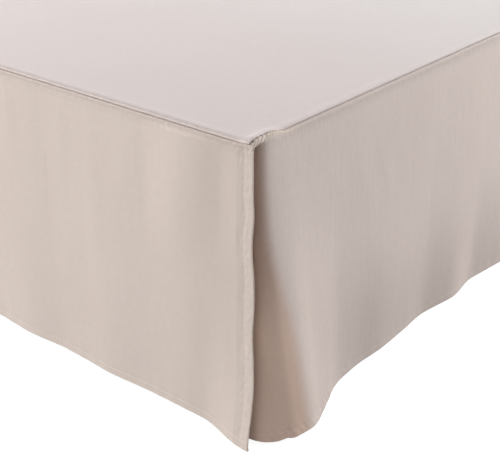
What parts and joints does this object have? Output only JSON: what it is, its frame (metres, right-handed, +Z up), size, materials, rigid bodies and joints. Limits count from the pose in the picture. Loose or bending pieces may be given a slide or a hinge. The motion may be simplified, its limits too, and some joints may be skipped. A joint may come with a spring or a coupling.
{
  "type": "bed skirt on a bed base",
  "caption": "Tailored bed skirt with a flat platform sheet, hemmed panels and split foot corners, hanging to just above the floor over a plain upholstered bed base on round legs.",
  "frame": {"origin": "on the floor under the middle of the whole part, flared corners included", "axes": "+X across the bed to its right side seen from the foot, +Y along the bed from foot to head, +Z up"},
  "size_m": [1.6138, 2.0584, 0.385],
  "materials": {
    "skirt_cloth": "plain-woven matt cloth, pale warm taupe",
    "deck_cloth": "smooth matt cloth, the same pale taupe seen in full light",
    "base_cloth": "plain off-white upholstery cloth",
    "leg_wood": "dark satin stained wood"
  },
  "bodies": {
    "root": {"deck": "deck_cloth", "foot_panel": "skirt_cloth", "right_panel": "skirt_cloth", "left_panel": "skirt_cloth", "foundation": "base_cloth", "leg_foot_left": "leg_wood", "leg_foot_right": "leg_wood", "leg_middle_left": "leg_wood", "leg_middle_right": "leg_wood", "leg_head_left": "leg_wood", "leg_head_right": "leg_wood"}
  },
  "joints": []
}
